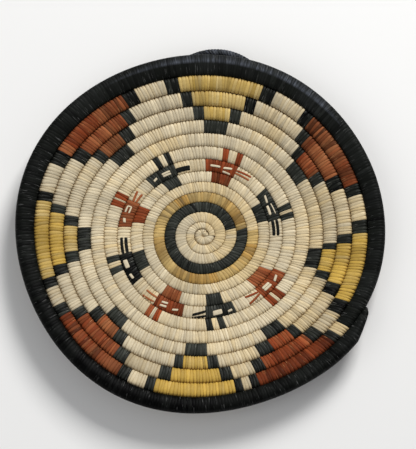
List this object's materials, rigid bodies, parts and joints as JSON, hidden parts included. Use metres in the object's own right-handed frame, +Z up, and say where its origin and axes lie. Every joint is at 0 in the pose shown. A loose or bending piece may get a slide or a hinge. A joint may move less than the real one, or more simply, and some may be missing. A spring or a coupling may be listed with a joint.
{
  "type": "coiled basketry plaque",
  "caption": "Round shallow coiled plaque: spiral grass bundle wrapped in splints, with a ring of small heads, stepped stars, a dark rim and a hanging loop.",
  "frame": {"origin": "centre of the spiral, on the flat underside that the plaque rests on", "axes": "+Z up out of the dish; +Y towards the hanging loop; turn 0 of the coil on +X"},
  "size_m": [0.3092, 0.3126, 0.0313],
  "materials": {
    "cream_splints": "dry leaf, matt with a faint sheen",
    "black_splints": "dyed leaf, low sheen",
    "gold_splints": "dyed leaf, matt",
    "patterned_splints": "cream leaf with runs of black, red and yellow",
    "white_splints": "bleached leaf",
    "red_splints": "dyed leaf, matt",
    "grass": "dry grass stems"
  },
  "bodies": {
    "root": {"black_rim": "black_splints", "black_ring": "black_splints", "centre_rounds": "cream_splints", "figure_1_beak_lower": "black_splints", "figure_1_beak_upper": "black_splints", "figure_1_brow": "white_splints", "figure_1_eye": "white_splints", "figure_2_beak_lower": "red_splints", "figure_2_beak_upper": "red_splints", "figure_2_brow": "white_splints", "figure_2_eye": "white_splints", "figure_3_beak_lower": "black_splints", "figure_3_beak_upper": "black_splints", "figure_3_brow": "white_splints", "figure_3_eye": "white_splints", "figure_4_beak_lower": "red_splints", "figure_4_beak_upper": "red_splints", "figure_4_brow": "white_splints", "figure_4_eye": "white_splints", "figure_5_beak_lower": "black_splints", "figure_5_beak_upper": "black_splints", "figure_5_brow": "white_splints", "figure_5_eye": "white_splints", "figure_6_beak_lower": "red_splints", "figure_6_beak_upper": "red_splints", "figure_6_brow": "white_splints", "figure_6_eye": "white_splints", "figure_7_beak_lower": "black_splints", "figure_7_beak_upper": "black_splints", "figure_7_brow": "white_splints", "figure_7_eye": "white_splints", "figure_8_beak_lower": "red_splints", "figure_8_beak_upper": "red_splints", "figure_8_brow": "white_splints", "figure_8_eye": "white_splints", "figure_crest_round": "patterned_splints", "figure_head_round": "patterned_splints", "figure_neck_round": "patterned_splints", "gold_ring": "gold_splints", "grass_bundle": "grass", "hanging_loop_bundle": "grass", "hanging_loop_wrap": "black_splints", "inner_cream_round": "cream_splints", "loop_lashing_left": "black_splints", "loop_lashing_right": "black_splints", "outer_cream_round": "cream_splints", "star_base_round": "patterned_splints", "star_second_round": "patterned_splints", "star_third_round": "patterned_splints", "star_tip_round": "patterned_splints", "start_knot": "cream_splints"}
  },
  "joints": []
}
